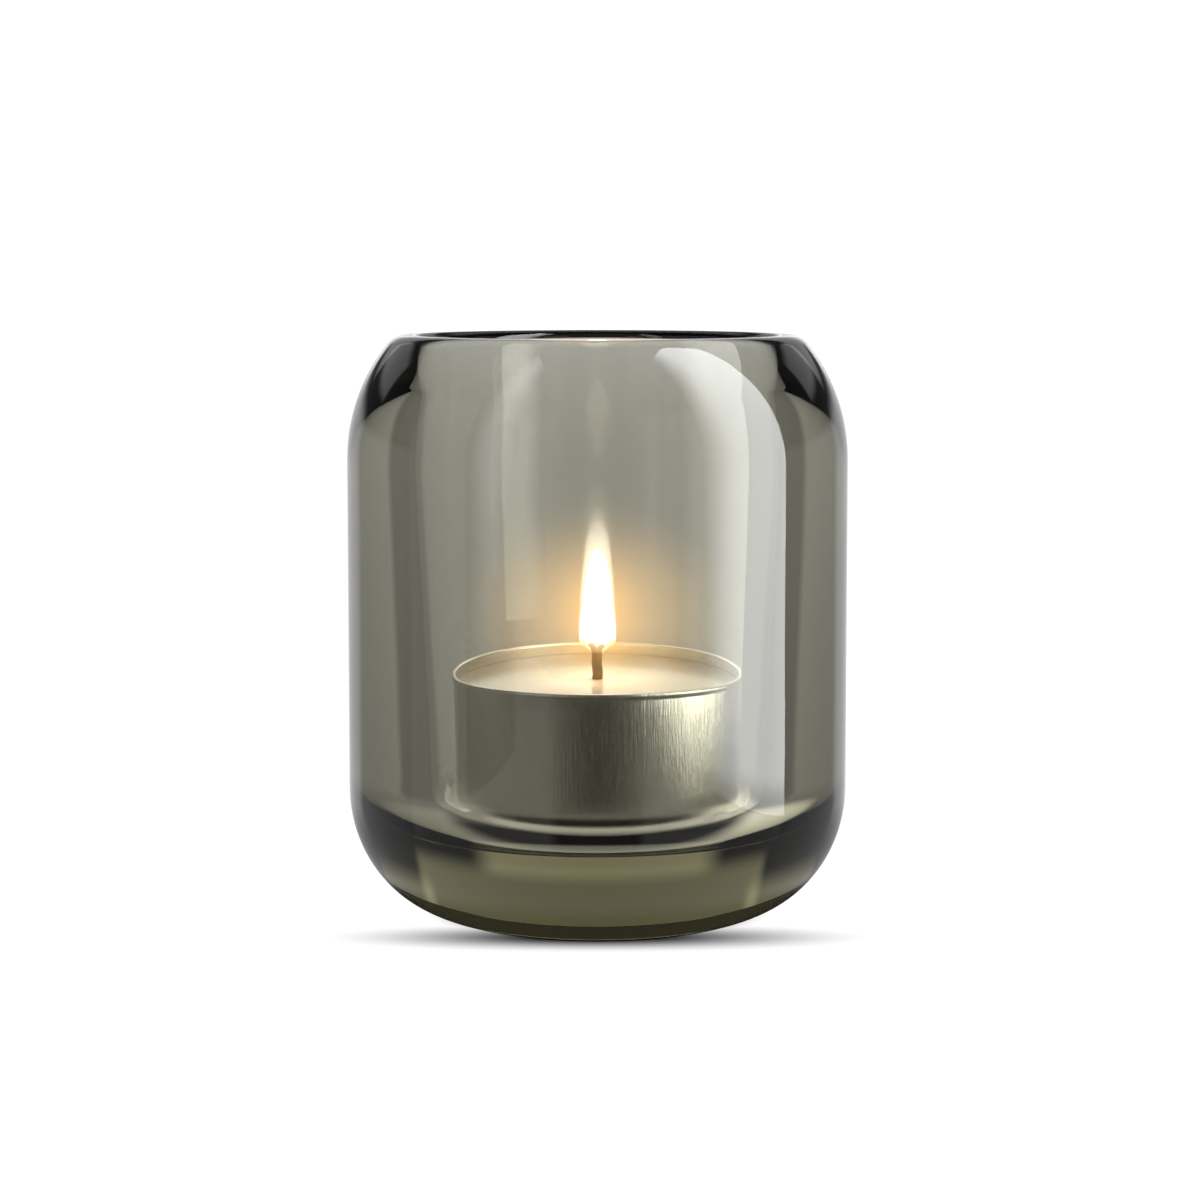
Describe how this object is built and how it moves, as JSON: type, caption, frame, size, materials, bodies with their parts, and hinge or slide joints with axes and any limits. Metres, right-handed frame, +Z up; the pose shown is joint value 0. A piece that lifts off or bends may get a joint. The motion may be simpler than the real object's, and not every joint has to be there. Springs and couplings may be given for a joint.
{
  "type": "tealight holder",
  "caption": "Thick smoked-glass tumbler with rounded shoulders and a heavy base, holding a lift-out tealight candle in a thin metal cup.",
  "frame": {"origin": "centre of the flat foot on the surface it stands on", "axes": "+Z up along the axis of revolution; X and Y are alike, because every piece is round"},
  "size_m": [0.0656, 0.0656, 0.0756],
  "materials": {
    "smoked_glass": "clear, smoked olive grey, fire polished",
    "cup_metal": "thin drawn sheet, satin with fine vertical draw lines",
    "wax": "paraffin wax, creamy white, glossy where it is molten",
    "sustainer_metal": "tinned sheet, satin",
    "wick": "braided cotton, waxed, burnt at the tip"
  },
  "bodies": {
    "holder": {"glass_holder": "smoked_glass"},
    "cup": {"candle_cup": "cup_metal"},
    "candle": {"wax": "wax", "wick_sustainer": "sustainer_metal", "wick": "wick"}
  },
  "joints": [
    {"name": "tealight_lift", "type": "slide", "parent": "holder", "child": "cup", "axis": [0, 0, 1], "range_m": [0, 0.08]},
    {"name": "candle_lift", "type": "slide", "parent": "cup", "child": "candle", "axis": [0, 0, 1], "range_m": [0, 0.024]}
  ]
}
